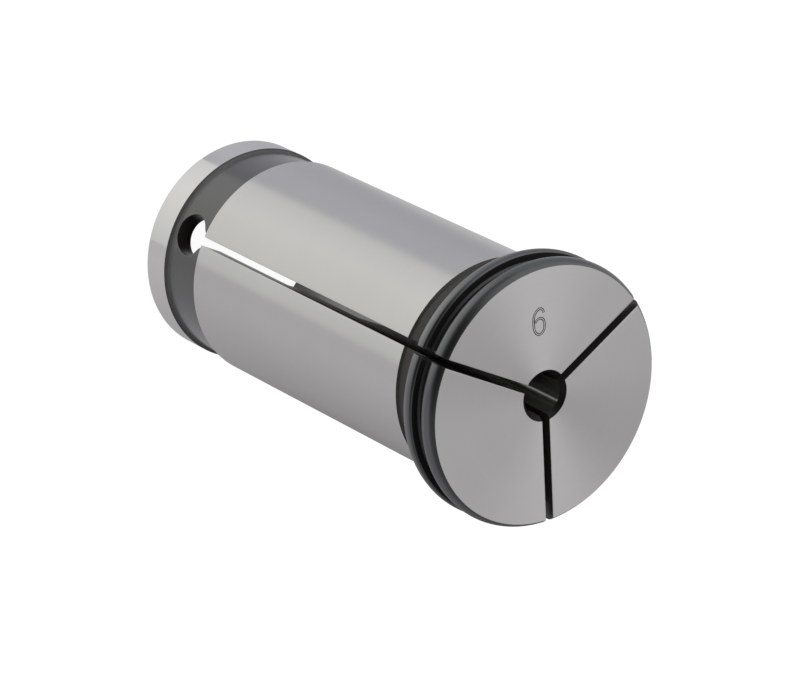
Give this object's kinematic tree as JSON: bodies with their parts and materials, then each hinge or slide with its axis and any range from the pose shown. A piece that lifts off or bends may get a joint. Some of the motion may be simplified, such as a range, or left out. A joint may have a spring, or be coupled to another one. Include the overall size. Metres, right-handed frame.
{
  "type": "milling chuck collet",
  "caption": "Straight slit steel sleeve with a grooved flange at its front, which reduces the bore of a milling chuck so that it grips a thin round tool shank.",
  "frame": {"origin": "centre of the rear face, where the collet stands on its rear ring", "axes": "+Z along the bore axis towards the front face with the tool bore; +X along one of the slits"},
  "size_m": [0.0378, 0.0378, 0.074],
  "materials": {
    "ground_steel": "ground bright on the shank, rear ring and front face, blackened in the grooves, the flange lips, the slits and the bores"
  },
  "bodies": {
    "root": {"collet": "ground_steel"}
  },
  "joints": []
}
